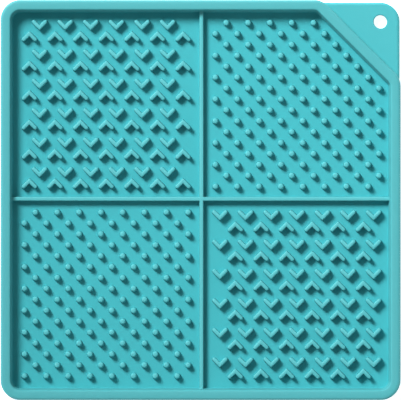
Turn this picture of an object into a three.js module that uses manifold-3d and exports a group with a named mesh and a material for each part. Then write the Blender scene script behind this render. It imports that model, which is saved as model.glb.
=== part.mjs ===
// A square silicone lick mat, moulded in one piece: a thin floor inside a raised rim, cross ribs that part
// it into four fields, two fields of V-shaped ridges and two of round nubs, and a low corner tab with a
// hanging hole. Millimetres, +Z up. The origin is at the middle of the underside, and the tab is at +X +Y.

import * as THREE from 'three';
import { mergeGeometries, mergeVertices } from 'three/addons/utils/BufferGeometryUtils.js';
import Module from 'manifold-3d';

const wasm = await Module();
wasm.setup();

// Driving dimensions

const mat = { side: 200, cornerRadius: 10, floorThickness: 2 };

const rim = { height: 9.6, topWidth: 4.4, wallDraft: 1.15, edgeRound: 0.8, innerCornerRadius: 4.8 };

// The bar that cuts the corner runs at 45 degrees; its outer edge is where x + y equals outerReach.
const cornerBar = { outerReach: 160.7, topWidth: 4.5, outerBendRadius: 9, innerBendRadius: 5 };

const innerReach = cornerBar.outerReach - cornerBar.topWidth * Math.SQRT2;

const tab = { rightEdge: 99.6, backEdge: 98.8, thickness: 4, edgeRound: 1, cornerRadius: 9.6 };

const hangingHole = { x: 90, y: 89.2, radius: 3.3 };

// The cross stands a little off the middle of the rim, and all four fields are laid out from it.
const cross = { x: 0.6, y: 0.5 };

const rib = { height: 3.75, topWidth: 1.8, draft: 0.35 };

const nub = { height: 3.7, footRadius: 2, shoulderRadius: 1.4, crown: 0.4, sides: 6 };

// Nubs stand on every second crossing of a square grid, centred in its field.
const nubGrid = { step: 5.46, lines: 16, fieldX: 47.8, fieldY: 47.6, barClearance: 5 };

const ridge = { height: 3.75, armReach: 2.9, topWidth: 1.8, draft: 0.4, tipExtension: 0.4 };

const ridgePitch = { x: 12.81, y: 14.72 };

// Each row is one set of ridges in the back left field: the apex of its first ridge from the cross, the
// number of columns and rows, and whether its ridges point towards the front or the back.
const ridgeSets = [
  { apexX: -81, apexY: 85.9, columns: 6, rows: 6, points: 'front' },
  { apexX: -86.1, apexY: 82.9, columns: 7, rows: 6, points: 'back' },
];

// How far the raised forms start inside the floor, and how far the blanks reach below the underside.
const sunk = 0.5;
const trimDepth = 4;

const mergeDistance = 1e-4;
const arcSegments = 6;
const holeSegments = 24;

const silicone = new THREE.MeshStandardMaterial({ color: 0x57bfc6, roughness: 0.55, metalness: 0 });

// Outlines

// A closed outline through the given corners, each rounded by an arc of its own radius. The corners run
// anticlockwise and turn left.
function roundedOutline(corners) {
  const shape = new THREE.Shape();
  corners.forEach((corner, index) => {
    const before = corners[(index + corners.length - 1) % corners.length];
    const after = corners[(index + 1) % corners.length];
    const point = new THREE.Vector2(corner.x, corner.y);
    const arriving = point.clone().sub(before).normalize();
    const leaving = new THREE.Vector2(after.x, after.y).sub(point).normalize();
    const turn = Math.acos(arriving.dot(leaving));
    const tangent = corner.radius * Math.tan(turn / 2);
    const start = point.clone().addScaledVector(arriving, -tangent);
    const inward = new THREE.Vector2(-arriving.y, arriving.x);
    const centre = start.clone().addScaledVector(inward, corner.radius);
    const startAngle = Math.atan2(start.y - centre.y, start.x - centre.x);
    shape.absarc(centre.x, centre.y, corner.radius, startAngle, startAngle + turn, false);
  });
  shape.closePath();
  return shape;
}

// The five-sided outline that both edges of the rim follow, at the given inset, with the corner bar's edge
// on the line where x + y equals reach.
function fiveSided(inset, reach, cornerRadius, bendRadius) {
  const edge = mat.side / 2 - inset;
  return roundedOutline([
    { x: -edge, y: -edge, radius: cornerRadius },
    { x: edge, y: -edge, radius: cornerRadius },
    { x: edge, y: reach - edge, radius: bendRadius },
    { x: reach - edge, y: edge, radius: bendRadius },
    { x: -edge, y: edge, radius: cornerRadius },
  ]);
}

function rimOutline() {
  return fiveSided(0, cornerBar.outerReach, mat.cornerRadius, cornerBar.outerBendRadius);
}

function trayOutline() {
  return fiveSided(rim.topWidth, innerReach, rim.innerCornerRadius, cornerBar.innerBendRadius);
}

// The tab's outline ends under the middle of the corner bar.
function tabOutline() {
  const middle = (cornerBar.outerReach + innerReach) / 2;
  const shape = new THREE.Shape();
  const arcX = tab.rightEdge - tab.cornerRadius;
  const arcY = tab.backEdge - tab.cornerRadius;
  shape.moveTo(middle - tab.backEdge, tab.backEdge);
  shape.lineTo(tab.rightEdge, middle - tab.rightEdge);
  shape.absarc(arcX, arcY, tab.cornerRadius, 0, Math.PI / 2, false);
  shape.closePath();
  return shape;
}

// A V of two straight arms at 45 degrees, apex towards -Y, at the width of its foot.
function ridgeOutline() {
  const halfFoot = ridge.topWidth / 2 + ridge.draft;
  const across = halfFoot * Math.SQRT1_2;
  const tip = ridge.armReach + (ridge.tipExtension + ridge.draft) * Math.SQRT1_2;
  return new THREE.Shape([
    new THREE.Vector2(0, -halfFoot * Math.SQRT2),
    new THREE.Vector2(tip + across, tip - across),
    new THREE.Vector2(tip - across, tip + across),
    new THREE.Vector2(0, halfFoot * Math.SQRT2),
    new THREE.Vector2(-tip + across, tip + across),
    new THREE.Vector2(-tip - across, tip - across),
  ]);
}

// Solids

// One closed body from a geometry, with shared points merged and triangles of no area left out.
function toSolid(geometry) {
  const bare = geometry.clone();
  bare.deleteAttribute('normal');
  bare.deleteAttribute('uv');
  const merged = mergeVertices(bare, mergeDistance);
  const corners = merged.index.array;
  const kept = [];
  for (let i = 0; i < corners.length; i += 3) {
    const [a, b, c] = corners.slice(i, i + 3);
    if (a !== b && b !== c && c !== a) {
      kept.push(a, b, c);
    }
  }
  const vertProperties = merged.attributes.position.array;
  const triVerts = Uint32Array.from(kept);
  return new wasm.Manifold(new wasm.Mesh({ numProp: 3, vertProperties, triVerts }));
}

function toGeometry(solid) {
  const mesh = solid.getMesh();
  const geometry = new THREE.BufferGeometry();
  geometry.setAttribute('position', new THREE.BufferAttribute(mesh.vertProperties, 3));
  geometry.setIndex(new THREE.BufferAttribute(mesh.triVerts, 1));
  geometry.computeVertexNormals();
  return geometry;
}

// A blank from below the underside up to top, with its upper edge broken by edgeRound.
function blank(outline, top, edgeRound) {
  const geometry = new THREE.ExtrudeGeometry(outline, {
    depth: top + trimDepth - edgeRound,
    bevelThickness: edgeRound,
    bevelSize: edgeRound,
    bevelOffset: -edgeRound,
    bevelSegments: 1,
    curveSegments: arcSegments,
  });
  return geometry.translate(0, 0, -trimDepth);
}

// A raised form on the floor whose sides lean in by draft over its height. Its mirrored lower half stays
// in the floor or is trimmed off with the underside.
function raised(footOutline, height, draft) {
  const geometry = new THREE.ExtrudeGeometry(footOutline, {
    depth: sunk,
    bevelThickness: height,
    bevelSize: draft,
    bevelOffset: -draft,
    bevelSegments: 1,
    curveSegments: arcSegments,
  });
  return geometry.translate(0, 0, mat.floorThickness - sunk);
}

// The hollow inside the rim: its wall leans out by wallDraft from the floor up to the rim's top.
function trayHollow() {
  const wallHeight = rim.height - mat.floorThickness;
  const geometry = new THREE.ExtrudeGeometry(trayOutline(), {
    depth: trimDepth,
    bevelThickness: wallHeight,
    bevelSize: rim.wallDraft,
    bevelOffset: -rim.wallDraft,
    bevelSegments: 1,
    curveSegments: arcSegments,
  });
  return geometry.translate(0, 0, rim.height);
}

function ribs() {
  const halfFoot = rib.topWidth / 2 + rib.draft;
  const reach = mat.side / 2 - rim.topWidth / 2;
  const along = new THREE.Shape();
  along.moveTo(-reach, cross.y - halfFoot);
  along.lineTo(reach, cross.y - halfFoot);
  along.lineTo(reach, cross.y + halfFoot);
  along.lineTo(-reach, cross.y + halfFoot);
  const across = new THREE.Shape();
  across.moveTo(cross.x - halfFoot, -reach);
  across.lineTo(cross.x + halfFoot, -reach);
  across.lineTo(cross.x + halfFoot, reach);
  across.lineTo(cross.x - halfFoot, reach);
  return [raised(along, rib.height, rib.draft), raised(across, rib.height, rib.draft)];
}

function nubForm() {
  const profile = [
    new THREE.Vector2(0, -sunk),
    new THREE.Vector2(nub.footRadius, -sunk),
    new THREE.Vector2(nub.footRadius, 0),
    new THREE.Vector2(nub.shoulderRadius, nub.height - nub.crown),
    new THREE.Vector2(0, nub.height),
  ];
  const geometry = new THREE.LatheGeometry(profile, nub.sides);
  return geometry.rotateX(Math.PI / 2).translate(0, 0, mat.floorThickness);
}

// Two fields of nubs, the front left one being the back right one turned half round the cross. Nubs that
// would stand too near the corner bar are left out.
function nubs() {
  const form = nubForm();
  const middleLine = (nubGrid.lines - 1) / 2;
  const placed = [];
  for (let row = 0; row < nubGrid.lines; row += 1) {
    for (let column = (row + 1) % 2; column < nubGrid.lines; column += 2) {
      const x = nubGrid.fieldX + (column - middleLine) * nubGrid.step;
      const y = nubGrid.fieldY - (row - middleLine) * nubGrid.step;
      if (cross.x + x + cross.y + y < innerReach - nubGrid.barClearance) {
        placed.push(form.clone().translate(cross.x + x, cross.y + y, 0));
      }
      placed.push(form.clone().translate(cross.x - x, cross.y - y, 0));
    }
  }
  return mergeGeometries(placed);
}

// Two fields of ridges, the front right one being the back left one turned half round the cross.
function ridges() {
  const towardsFront = raised(ridgeOutline(), ridge.height, ridge.draft);
  const towardsBack = towardsFront.clone().rotateZ(Math.PI);
  const placed = [];
  for (const set of ridgeSets) {
    const form = set.points === 'front' ? towardsFront : towardsBack;
    const turned = set.points === 'front' ? towardsBack : towardsFront;
    for (let row = 0; row < set.rows; row += 1) {
      for (let column = 0; column < set.columns; column += 1) {
        const x = set.apexX + column * ridgePitch.x;
        const y = set.apexY - row * ridgePitch.y;
        placed.push(form.clone().translate(cross.x + x, cross.y + y, 0));
        placed.push(turned.clone().translate(cross.x - x, cross.y - y, 0));
      }
    }
  }
  return mergeGeometries(placed);
}

// The whole moulding

function moulding() {
  const rimBlank = toSolid(blank(rimOutline(), rim.height, rim.edgeRound));
  const tabBlank = toSolid(blank(tabOutline(), tab.thickness, tab.edgeRound));
  const holeCutter = new THREE.CylinderGeometry(
    hangingHole.radius, hangingHole.radius, 2 * (tab.thickness + trimDepth), holeSegments,
  );
  holeCutter.rotateX(Math.PI / 2).translate(hangingHole.x, hangingHole.y, 0);
  const underside = new THREE.BoxGeometry(2 * mat.side, 2 * mat.side, 2 * trimDepth);
  underside.translate(0, 0, -trimDepth);

  let solid = rimBlank.subtract(toSolid(trayHollow()));
  for (const geometry of [...ribs(), nubs(), ridges()]) {
    solid = solid.add(toSolid(geometry));
  }
  solid = solid.add(tabBlank).subtract(toSolid(holeCutter));
  return solid.subtract(toSolid(underside));
}

const lickMat = new THREE.Mesh(toGeometry(moulding()), silicone);
lickMat.name = 'lick_mat';

const part = new THREE.Group();
part.add(lickMat);

export default part;
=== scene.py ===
import math

import bpy
import numpy as np
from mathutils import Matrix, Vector


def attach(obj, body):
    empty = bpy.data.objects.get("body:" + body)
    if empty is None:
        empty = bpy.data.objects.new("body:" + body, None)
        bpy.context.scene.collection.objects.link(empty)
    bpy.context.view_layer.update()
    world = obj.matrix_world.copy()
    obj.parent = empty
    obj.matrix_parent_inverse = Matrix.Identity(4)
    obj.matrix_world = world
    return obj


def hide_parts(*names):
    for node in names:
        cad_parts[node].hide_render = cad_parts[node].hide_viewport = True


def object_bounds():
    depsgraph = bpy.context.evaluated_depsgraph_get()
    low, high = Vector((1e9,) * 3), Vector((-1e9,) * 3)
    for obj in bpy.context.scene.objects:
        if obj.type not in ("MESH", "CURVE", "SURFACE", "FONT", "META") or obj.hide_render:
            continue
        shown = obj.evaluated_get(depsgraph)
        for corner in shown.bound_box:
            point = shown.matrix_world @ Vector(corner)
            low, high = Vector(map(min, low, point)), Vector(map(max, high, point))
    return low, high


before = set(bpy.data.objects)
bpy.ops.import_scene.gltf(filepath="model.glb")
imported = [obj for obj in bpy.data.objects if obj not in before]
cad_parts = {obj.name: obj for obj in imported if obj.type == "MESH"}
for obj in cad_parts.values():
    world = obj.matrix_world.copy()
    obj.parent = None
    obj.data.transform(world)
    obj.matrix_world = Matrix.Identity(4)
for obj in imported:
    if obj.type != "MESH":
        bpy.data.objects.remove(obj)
cadLow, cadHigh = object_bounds()

mm = 0.001
halfSide = (cadHigh.x - cadLow.x) / 2 / mm
rimHeight = (cadHigh.z - cadLow.z) / mm
floorLevel = 2.0  # top of the mat's floor, above the table
print(f"frame: mat {2 * halfSide:.1f} mm square and {rimHeight:.1f} mm high")


# Shapes. All sizes in this section are in millimetres; makeSolid turns them into metres.

# unit directions as (x, y) rows: (cos, sin) of each angle, in radians
def compass(angle):
    return np.stack([np.cos(angle), np.sin(angle)], axis=1)


# a part of a circle as (x, y) rows: centre plus radius times the direction, angles in degrees
def arc(centreX, centreY, radius, start, end, steps):
    angle = np.radians(np.linspace(start, end, steps + 1))
    return np.array([centreX, centreY]) + radius * compass(angle)


# rings of points: each profile row (reach, height) puts the whole outline at spine + reach * outward
def carry(spine, outward, profile):
    reach, height = profile[:, 0], profile[:, 1]
    flat = spine[None] + reach[:, None, None] * outward[None]
    level = np.broadcast_to(height[:, None, None], flat.shape[:2] + (1,))
    return np.concatenate([flat, level], axis=2)


# four-sided faces between neighbouring rings, each ring closed on itself
def ringFaces(rings, points, closed=False):
    ring = np.arange(rings if closed else rings - 1)[:, None]
    point = np.arange(points)[None]
    beside = (point + 1) % points
    lower = ring * points
    upper = (ring + 1) % rings * points
    corners = (lower + point, lower + beside, upper + beside, upper + point)
    return np.stack(np.broadcast_arrays(*corners), axis=2).reshape(-1, 4)


# one object from rings of points, repeated at each place; open stacks get a flat face at both ends
def makeSolid(name, rings, places=((0.0, 0.0, 0.0),), closed=False):
    count, around = rings.shape[:2]
    places = np.asarray(places, dtype=float)
    points = (places[:, None] + rings.reshape(1, -1, 3)).reshape(-1, 3) * mm
    first = (np.arange(len(places)) * count * around)[:, None]
    quads = ringFaces(count, around, closed)
    faces = (first[:, :, None] + quads[None]).reshape(-1, 4).tolist()
    if not closed:
        lowest = np.arange(around)[::-1]
        highest = np.arange(around) + (count - 1) * around
        faces += (first + lowest).tolist() + (first + highest).tolist()
    mesh = bpy.data.meshes.new(name)
    mesh.from_pydata(points.tolist(), [], faces)
    piece = bpy.data.objects.new(name, mesh)
    bpy.context.scene.collection.objects.link(piece)
    return piece


rim = {
    "topWidth": 5.0,
    "wallDraft": 1.0,
    "outerEdge": 1.25,  # radius of the outer upper edge
    "innerEdge": 0.7,
    "crown": 0.14,  # how far the top falls away from its middle to its edges
    "footFillet": 0.2,
    "lowerEdge": 0.5,
    "cornerRadius": 10.0,
    "barReach": 160.7,  # x + y on the outer edge of the corner bar
    "barBend": 9.0,
    "barExtra": 0.07,  # how much wider the corner bar is than the rim
    "barBlend": 8,  # the higher, the shorter the stretch over which the rim widens into the bar
    "hold": 0.12,  # a narrow flat band beside each rounding, which keeps the wide faces flat in the light
    "bendSteps": 14,
    "outerSteps": 8,
    "innerSteps": 6,
    "filletSteps": 5,
    "lowerSteps": 3,
    "topPoints": 4,
}


# the rim's outer outline: straight sides joined by arcs, with the outward direction at each point
def rimPath():
    half, corner, bend = halfSide, rim["cornerRadius"], rim["barBend"]
    cut = rim["barReach"] - half  # where the bar's outer edge would meet the straight sides
    slip = bend * math.tan(math.radians(45 / 2))  # from there to where the bend begins
    bends = [
        (-half + corner, -half + corner, corner, 180, 270),
        (half - corner, -half + corner, corner, 270, 360),
        (half - bend, cut - slip, bend, 0, 45),
        (cut - slip, half - bend, bend, 45, 90),
        (-half + corner, half - corner, corner, 90, 180),
    ]
    points = np.concatenate([arc(*turn, rim["bendSteps"]) for turn in bends])
    angles = [np.linspace(start, end, rim["bendSteps"] + 1) for *_, start, end in bends]
    return points, compass(np.radians(np.concatenate(angles)))


# the rim's section as (inset, height): out along the underside, up, over the top, which falls off by the
# square of the distance from its middle, and down to the floor
def rimSection():
    top, width, foot = rimHeight, rim["topWidth"], rim["topWidth"] + rim["wallDraft"]
    low, outer, inner, fillet = rim["lowerEdge"], rim["outerEdge"], rim["innerEdge"], rim["footFillet"]
    lean = math.degrees(math.atan2(rim["wallDraft"], top - floorLevel))
    flat = np.linspace(outer, width - inner, rim["topPoints"] + 2)[1:-1]
    upper = np.concatenate([
        arc(outer, top - outer, outer, 180, 90, rim["outerSteps"]),
        np.stack([flat, np.full_like(flat, top)], axis=1),
        arc(width - inner, top - inner, inner, 90, lean, rim["innerSteps"]),
    ])
    upper[:, 1] -= rim["crown"] * ((2 * upper[:, 0] - width) / width) ** 2
    parts = [
        np.array([[foot + fillet, 0.0]]),
        arc(low, low, low, 270, 180, rim["lowerSteps"]),
        upper,
        arc(foot + fillet, floorLevel + fillet, fillet, 180 + lean, 270, rim["filletSteps"]),
        np.array([[foot + fillet + rim["hold"], floorLevel]]),
    ]
    return np.concatenate(parts)


# the body of the mat: the rim's section carried round its outline, with the floor across its end; the
# section is widened by a power of how squarely the outline faces the corner
def makeBody():
    points, outward = rimPath()
    facing = np.clip(outward @ np.full(2, math.sqrt(0.5)), 0, 1)
    widen = 1 + rim["barExtra"] * facing ** rim["barBlend"]
    return makeSolid("body", carry(points, -outward * widen[:, None], rimSection()))


tab = {
    "holeX": 90.0,
    "holeY": 89.2,
    "holeRadius": 3.3,
    "edge": 9.6,  # from the middle of the hole to the tab's straight sides and round corner
    "beyond": 1000.0,  # stands for a side that a spoke never meets
    "thickness": 4.0,
    "upperEdge": 1.3,
    "lowerEdge": 0.4,
    "holeEdge": 0.45,
    "spokes": 96,
    "upperSteps": 6,
    "lowerSteps": 3,
    "holeSteps": 4,
}


# how far along each spoke a straight side lies: the side's distance over the spoke's share towards it
def toSide(distance, share):
    least = 1e-6
    return np.where(share > least, distance / np.maximum(share, least), tab["beyond"])


# the tab's outline as a distance from the hole along each spoke, with the outward direction there: a round
# corner about the hole, two straight sides, and a straight side under the middle of the corner bar
def tabOutline():
    spoke = compass(np.linspace(0, 2 * math.pi, tab["spokes"], endpoint=False))
    right, back = spoke.T
    barMiddle = rim["barReach"] - rim["topWidth"] / math.sqrt(2)
    reaches = np.stack([
        np.where((right >= 0) & (back >= 0), tab["edge"], tab["beyond"]),
        toSide(tab["edge"], right),
        toSide(tab["edge"], back),
        toSide(tab["holeX"] + tab["holeY"] - barMiddle, -(right + back)),
    ])
    still = np.zeros_like(spoke)
    directions = np.stack([spoke, still + [1, 0], still + [0, 1], still])
    nearest = reaches.argmin(axis=0)
    each = np.arange(tab["spokes"])
    return spoke, reaches[nearest, each], directions[nearest, each]


# the tab as a closed ring about its hole: rings go up the edge, in over the top, down the hole and back
def makeTab():
    spoke, reach, outward = tabOutline()
    middle = np.array([tab["holeX"], tab["holeY"]])
    top, hole, hold = tab["thickness"], tab["holeRadius"], rim["hold"]
    mouth, upper, lower = tab["holeEdge"], tab["upperEdge"], tab["lowerEdge"]
    holeSection = np.concatenate([
        arc(hole + mouth, mouth, mouth, 270, 180, tab["lowerSteps"]),
        arc(hole + mouth, top - mouth, mouth, 180, 90, tab["holeSteps"]),
        [[hole + mouth + hold, top]],
    ])
    edgeSection = np.concatenate([
        [[upper + hold, top]],
        arc(upper, top - upper, upper, 90, 180, tab["upperSteps"]),
        arc(lower, lower, lower, 180, 270, tab["lowerSteps"]),
    ])
    inner = carry(np.broadcast_to(middle, spoke.shape), spoke, holeSection)
    outer = carry(middle + spoke * reach[:, None], -outward, edgeSection)
    return makeSolid("tab", np.concatenate([inner, outer])[::-1], closed=True)


fields = {
    "nubX": 0.64,  # the middle of the fields, a little off that of the rim
    "ridgeX": 0.5,
    "y": 0.32,
    "rootDepth": 0.1,  # how far each raised form reaches into the floor, so that the two join
}


# a raised section as (half width, height): from under the floor up a leaning side and over a rounded edge
def raisedSection(halfTop, draft, form):
    height, edge, root = form["height"], form["topEdge"], fields["rootDepth"]
    lean = math.degrees(math.atan2(draft, height))
    under = np.array([[halfTop + draft + root * draft / height, -root]])
    over = arc(halfTop - edge, height - edge, edge, lean, 90, form["edgeSteps"])
    section = np.concatenate([under, over])
    section[:, 1] += floorLevel
    return section


cross = {
    "x": 0.48,
    "y": 0.57,
    "topWidth": 1.9,
    "height": 3.65,
    "draft": 0.2,
    "topEdge": 0.45,
    "edgeSteps": 5,
}


# the two ribs of the cross: a raised section carried round a straight spine that ends inside the rim
def makeRibs():
    reach = halfSide - rim["topWidth"] / 2
    section = raisedSection(cross["topWidth"] / 2, cross["draft"], cross)
    spine = np.array([[-reach, 0], [reach, 0], [reach, 0], [-reach, 0]])
    outward = np.array([[0, -1], [0, -1], [0, 1], [0, 1]])
    along = carry(spine + np.array([0, cross["y"]]), outward, section)
    turn = np.array([[0, 1], [-1, 0]])
    across = carry(spine @ turn + np.array([cross["x"], 0]), outward @ turn, section)
    return [makeSolid("rib along", along), makeSolid("rib across", across)]


nub = {
    "height": 3.4,
    "footRadius": 1.8,
    "topRadius": 1.42,
    "topEdge": 0.7,
    "edgeSteps": 3,
    "sides": 12,
    "step": 5.46,  # half the distance between neighbours in a row
    "lines": 16,
    "fieldX": 47.75,
    "fieldY": 47.4,
    "barClearance": 5.0,
}


# a nub as rings about its axis: a raised section carried round a point, with a flat, round-edged top
def nubRings():
    around = compass(np.linspace(0, 2 * math.pi, nub["sides"], endpoint=False))
    section = raisedSection(nub["topRadius"], nub["footRadius"] - nub["topRadius"], nub)
    return carry(np.zeros_like(around), around, section)


# nubs stand where row plus column is odd; the front left field is the other one turned half round
def nubPlaces():
    line = np.arange(nub["lines"])
    row, column = np.meshgrid(line, line, indexing="ij")
    odd = (row + column) % 2 == 1
    centred = (nub["lines"] - 1) / 2
    x = nub["fieldX"] + (column[odd] - centred) * nub["step"]
    y = nub["fieldY"] - (row[odd] - centred) * nub["step"]
    innerReach = rim["barReach"] - rim["topWidth"] * (1 + rim["barExtra"]) * math.sqrt(2)
    clear = fields["nubX"] + x + fields["y"] + y < innerReach - nub["barClearance"]
    x, y = np.concatenate([x[clear], -x]), np.concatenate([y[clear], -y])
    return np.stack([fields["nubX"] + x, fields["y"] + y, 0 * x], axis=1)


ridge = {
    "height": 3.65,
    "armReach": 2.9,
    "topWidth": 1.9,
    "draft": 0.25,
    "topEdge": 0.55,
    "edgeSteps": 3,
    "tipSteps": 4,
    "apexMitre": 1.25,
    "pitchX": 12.81,
    "pitchY": 14.72,
    "rows": 6,
    "frontSet": (-81.0, 85.9, 6),  # first apex from the middle, and the number of columns
    "backSet": (-86.1, 82.9, 7),
}


# a V as a spine of apex and two tips, with the directions in which its outline stands off from them
def ridgeOutline():
    reach, slant, tipCount = ridge["armReach"], math.sqrt(0.5), ridge["tipSteps"] + 1
    apex = np.zeros((1, 2))
    rightTip = np.tile([reach, reach], (tipCount, 1))
    leftTip = np.tile([-reach, reach], (tipCount, 1))
    spine = [apex, apex, rightTip, apex, leftTip, apex]
    outward = [
        np.array([[0, -ridge["apexMitre"]]]),
        np.array([[slant, -slant]]),
        compass(np.radians(np.linspace(-45, 135, tipCount))),
        np.array([[0, math.sqrt(2)]]),
        compass(np.radians(np.linspace(45, 225, tipCount))),
        np.array([[-slant, -slant]]),
    ]
    return np.concatenate(spine), np.concatenate(outward)


# apexes of one set of ridges in the back left field: the first one plus whole pitches to the right and front
def ridgePlaces(firstX, firstY, columns):
    row, column = np.meshgrid(np.arange(ridge["rows"]), np.arange(columns), indexing="ij")
    x = firstX + column.ravel() * ridge["pitchX"]
    y = firstY - row.ravel() * ridge["pitchY"]
    return np.stack([x, y, 0 * x], axis=1)


# ridges that point to the front and to the back; the front right field is the other turned half round
def makeRidges():
    spine, outward = ridgeOutline()
    section = raisedSection(ridge["topWidth"] / 2, ridge["draft"], ridge)
    middle = np.array([fields["ridgeX"], fields["y"], 0])
    front, back = ridgePlaces(*ridge["frontSet"]), ridgePlaces(*ridge["backSet"])
    toFront = carry(spine, outward, section)
    toBack = carry(-spine, -outward, section)
    return [
        makeSolid("ridges to front", toFront, middle + np.concatenate([front, -back])),
        makeSolid("ridges to back", toBack, middle + np.concatenate([back, -front])),
    ]


# joins the moulded forms into one skin, as they come out of one mould
def fuse(base, forms):
    for form in forms:
        join = base.modifiers.new("join " + form.name, "BOOLEAN")
        join.operation = "UNION"
        join.solver = "MANIFOLD"
        join.object = form
    whole = base.evaluated_get(bpy.context.evaluated_depsgraph_get())
    mesh = bpy.data.meshes.new_from_object(whole)
    base.modifiers.clear()
    base.data = mesh
    for form in forms:
        bpy.data.objects.remove(form)
    return base


skin = {"sharpAngle": 38}  # degrees between two faces, past which their edge stays a crease


# smooth shading across roundings, with a crease where two forms meet
def smoothSkin(piece):
    piece.data.shade_smooth()
    piece.data.set_sharp_from_angle(angle=math.radians(skin["sharpAngle"]))
    return piece


# how far the surface faces up at each face corner, kept as an attribute for the painted shade on steep
# faces: the normal's Z
def markUpward(piece):
    normal = np.empty(3 * len(piece.data.loops), dtype=np.float32)
    piece.data.corner_normals.foreach_get("vector", normal)
    upward = piece.data.attributes.new("upward", "FLOAT", "CORNER")
    upward.data.foreach_set("value", np.ascontiguousarray(normal[2::3]))
    return piece


# Finishes, in metres

class Wire:
    # one output socket; arithmetic on it adds Math nodes to its tree
    def __init__(self, bench, socket):
        self.bench = bench
        self.socket = socket

    def math(self, operation, first, second):
        return self.bench.add("ShaderNodeMath", {"operation": operation}, {0: first, 1: second})["Value"]

    def __add__(self, other):
        return self.math("ADD", self, other)

    def __radd__(self, other):
        return self.math("ADD", other, self)

    def __sub__(self, other):
        return self.math("SUBTRACT", self, other)

    def __rsub__(self, other):
        return self.math("SUBTRACT", other, self)

    def __mul__(self, other):
        return self.math("MULTIPLY", self, other)

    def __rmul__(self, other):
        return self.math("MULTIPLY", other, self)


class Bench:
    # the node tree of a material or of the world; add() is the one way in for a node
    def __init__(self, owner):
        owner.use_nodes = True
        self.owner = owner
        self.tree = owner.node_tree
        self.tree.nodes.clear()

    # a node of the given kind: its settings first, then a value or a wire for each socket
    def add(self, kind, settings=None, sockets=None):
        node = self.tree.nodes.new(kind)
        for name, value in (settings or {}).items():
            setattr(node, name, value)
        for name, value in (sockets or {}).items():
            if isinstance(value, Wire):
                self.tree.links.new(value.socket, node.inputs[name])
            else:
                node.inputs[name].default_value = value
        return {output.name: Wire(self, output) for output in node.outputs if output.enabled}

    # one colour laid over another by a factor; a Mix node takes its colours in sockets 6 and 7
    def layer(self, factor, under, over, way="MIX"):
        settings = {"data_type": "RGBA", "blend_type": way}
        return self.add("ShaderNodeMix", settings, {"Factor": factor, 6: under, 7: over})["Result"]

    # a share that goes from 0 to 1 while the value goes from start to end
    def share(self, value, start, end):
        sockets = {"Value": value, "From Min": start, "From Max": end}
        return self.add("ShaderNodeMapRange", {}, sockets)["Result"]


silicone = {
    "deep": (0.014, 0.405, 0.452, 1),
    "pale": (0.022, 0.435, 0.482, 1),
    "tip": (0.062, 0.448, 0.482, 1),  # painted sheen: raised tips and the tab are drawn paler and whiter than the floor, as the light's sheen shows them
    "tipFrom": 0.0030,
    "tipTo": 0.0056,
    # painted sheen: the rim's top is drawn whiter than the floor
    "brimSheen": (0.047, 0.394, 0.428, 1),
    "brimSheenFrom": 0.006,
    "brimSheenTo": 0.0075,
    "steepShadeTone": (0.70, 0.74, 0.74, 1),  # painted shade: upright faces are drawn darker
    "steepShadeFrom": 0.45,  # upward share of the surface's direction
    "steepShadeTo": 0.12,
    "cloud": {"Scale": 22.0, "Detail": 3.0, "Roughness": 0.55},  # soft tones, a few centimetres across
    "speck": {"Scale": 900.0, "Detail": 2.0, "Roughness": 0.6},
    "speckTone": 0.25,
    "speckMiddle": 0.5,
    "roughness": 0.74,
    "roughnessSpread": 0.10,
    "grain": {"Scale": 2600.0, "Detail": 2.0, "Roughness": 0.5},  # fine matte grain of the mould
    "grainHeight": 0.00003,
    "grainStrength": 0.25,
    "subsurface": 0.2,
    "subsurfaceScale": 0.0005,
    "subsurfaceRadius": (0.35, 1.0, 1.0),
    "ior": 1.47,
    "gloss": 1.0,
}


# satin moulded rubber: cloudy tone plus fine specks in the colour, with painted sheen mixed in by height on
# the tips and brim and painted shade on steep faces, uneven gloss, matte grain as bump
def siliconeFinish():
    bench = Bench(bpy.data.materials.new("teal silicone"))
    where = bench.add("ShaderNodeTexCoord")["Object"]
    cloud, speck, grain = [
        bench.add("ShaderNodeTexNoise", {}, {"Vector": where, **silicone[pattern]})["Fac"]
        for pattern in ("cloud", "speck", "grain")
    ]
    level = bench.add("ShaderNodeSeparateXYZ", {}, {"Vector": where})["Z"]
    upward = bench.add("ShaderNodeAttribute", {"attribute_name": "upward"})["Fac"]
    tone = cloud * (1 - silicone["speckTone"]) + speck * silicone["speckTone"]
    # painted sheen: the tips and the tab are made paler by height
    tip = bench.share(level, silicone["tipFrom"], silicone["tipTo"])
    # painted sheen: the rim's top is made whiter by height
    brimSheen = bench.share(level, silicone["brimSheenFrom"], silicone["brimSheenTo"])
    # painted shade: steep faces are darkened
    steepShade = bench.share(upward, silicone["steepShadeFrom"], silicone["steepShadeTo"])
    colour = bench.layer(tone, silicone["deep"], silicone["pale"])
    colour = bench.layer(tip, colour, silicone["tip"])
    colour = bench.layer(brimSheen, colour, silicone["brimSheen"])
    colour = bench.layer(steepShade, colour, silicone["steepShadeTone"], "MULTIPLY")
    rough = silicone["roughness"] + (speck - silicone["speckMiddle"]) * silicone["roughnessSpread"]
    bump = bench.add("ShaderNodeBump", {}, {
        "Strength": silicone["grainStrength"],
        "Distance": silicone["grainHeight"],
        "Height": grain,
    })["Normal"]
    shader = bench.add("ShaderNodeBsdfPrincipled", {"subsurface_method": "RANDOM_WALK"}, {
        "Base Color": colour,
        "Roughness": rough,
        "Normal": bump,
        "IOR": silicone["ior"],
        "Specular IOR Level": silicone["gloss"],
        "Subsurface Weight": silicone["subsurface"],
        "Subsurface Scale": silicone["subsurfaceScale"],
        "Subsurface Radius": silicone["subsurfaceRadius"],
    })["BSDF"]
    bench.add("ShaderNodeOutputMaterial", {}, {"Surface": shader})
    return bench.owner


table = {"side": 3.0, "colour": (0.86, 0.87, 0.87, 1), "glow": 1.0, "roughness": 0.7, "below": 0.00005}


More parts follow.
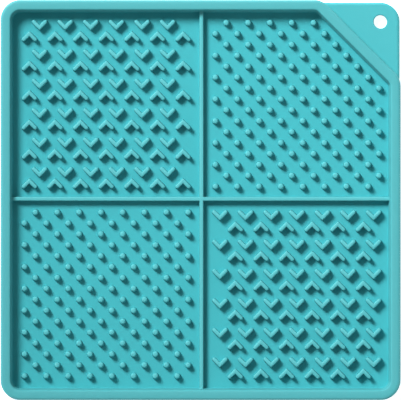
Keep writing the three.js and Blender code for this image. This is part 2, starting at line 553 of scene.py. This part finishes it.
# a pale square table with light of its own, so that it stays pale in the mat's shadow
def makeTable():
    half = table["side"] / 2
    corners = [(-half, -half), (half, -half), (half, half), (-half, half)]
    mesh = bpy.data.meshes.new("table")
    mesh.from_pydata([(x, y, -table["below"]) for x, y in corners], [], [(0, 1, 2, 3)])
    piece = bpy.data.objects.new("table", mesh)
    bpy.context.scene.collection.objects.link(piece)
    bench = Bench(bpy.data.materials.new("pale table"))
    shader = bench.add("ShaderNodeBsdfPrincipled", {}, {
        "Base Color": table["colour"],
        "Roughness": table["roughness"],
        "Emission Color": table["colour"],
        "Emission Strength": table["glow"],
    })["BSDF"]
    bench.add("ShaderNodeOutputMaterial", {}, {"Surface": shader})
    mesh.materials.append(bench.owner)


# Light and camera, in metres and degrees

studio = {
    "keyAngle": 51.5,  # the light travels this far round from +X towards -Y, seen from above
    "keyHeight": 41.0,  # above the table
    "keyDistance": 2.6,
    "keyPower": 505.0,
    "keyRadius": 0.5,
    "keyAim": (0.11, 0.09, 0.0),  # the brightest place
    "keyCone": 32.0,
    "keyFade": 1.0,  # the light falls off all the way from the middle of its cone
    "sky": (1.0, 1.0, 1.0, 1),
    "skyStrength": 0.68,
    "skyBandTop": 0.3,  # the sky is brightest from the horizon up to this height of its unit sphere
    "skyDimFrom": 0.9,
    "skyDim": 0.15,
}


# one soft round lamp to the back left, brightest on the back right of the mat: its place is its distance
# times the direction that the two angles give
def lightStudio():
    turn, rise = math.radians(studio["keyAngle"]), math.radians(studio["keyHeight"])
    towards = Vector((-math.cos(rise) * math.cos(turn), math.cos(rise) * math.sin(turn), math.sin(rise)))
    lamp = bpy.data.lights.new("key light", "SPOT")
    lamp.energy = studio["keyPower"]
    lamp.shadow_soft_size = studio["keyRadius"]
    lamp.spot_size = math.radians(studio["keyCone"])
    lamp.spot_blend = studio["keyFade"]
    light = bpy.data.objects.new("key light", lamp)
    light.location = towards * studio["keyDistance"]
    light.rotation_euler = (light.location - Vector(studio["keyAim"])).to_track_quat("Z", "Y").to_euler()
    bpy.context.scene.collection.objects.link(light)


# pale walls all round: a white sky that is bright above the horizon and dim straight overhead
def lightWalls():
    bench = Bench(bpy.data.worlds.new("studio walls"))
    towards = bench.add("ShaderNodeTexCoord")["Generated"]
    height = bench.add("ShaderNodeSeparateXYZ", {}, {"Vector": towards})["Z"]
    glow = bench.add("ShaderNodeMapRange", {}, {
        "Value": height,
        "From Min": studio["skyBandTop"],
        "From Max": studio["skyDimFrom"],
        "To Min": studio["skyStrength"],
        "To Max": studio["skyStrength"] * studio["skyDim"],
    })["Result"]
    sky = bench.add("ShaderNodeBackground", {}, {"Color": studio["sky"], "Strength": glow})["Background"]
    bench.add("ShaderNodeOutputWorld", {}, {"Surface": sky})
    bpy.context.scene.world = bench.owner


camera = {
    "distance": 5.0,  # above the table
    "shownWidth": 0.2004,  # width of the picture at the rim's top
    "aimX": 0.0,
    "aimY": 0.00002,
    "sensor": 36.0,  # in millimetres, as Blender gives it
    "farthest": 50.0,
}


# straight above the mat, far off, with the picture as wide as the mat: the focal length is to the sensor as
# the height above the rim is to the width shown
def placeCamera():
    lens = bpy.data.cameras.new("camera")
    lens.sensor_width = camera["sensor"]
    lens.lens = camera["sensor"] * (camera["distance"] - rimHeight * mm) / camera["shownWidth"]
    lens.clip_end = camera["farthest"]
    view = bpy.data.objects.new("camera", lens)
    view.location = (camera["aimX"], camera["aimY"], camera["distance"])
    bpy.context.scene.collection.objects.link(view)
    bpy.context.scene.camera = view


placeCamera()
lightStudio()
lightWalls()
makeTable()
bpy.context.scene.view_settings.view_transform = "Standard"
print("studio: camera, light and table")

body = makeBody()
forms = [makeTab(), *makeRibs(), makeSolid("nubs", nubRings(), nubPlaces()), *makeRidges()]
print(f"forms: {len(forms)} to join to the body")
lickMat = markUpward(smoothSkin(fuse(body, forms)))
lickMat.name = "lickMat"
lickMat.data.materials.clear()
lickMat.data.materials.append(siliconeFinish())
print(f"mat: {len(lickMat.data.vertices)} points and {len(lickMat.data.polygons)} faces")

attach(lickMat, "root")
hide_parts("lick_mat")
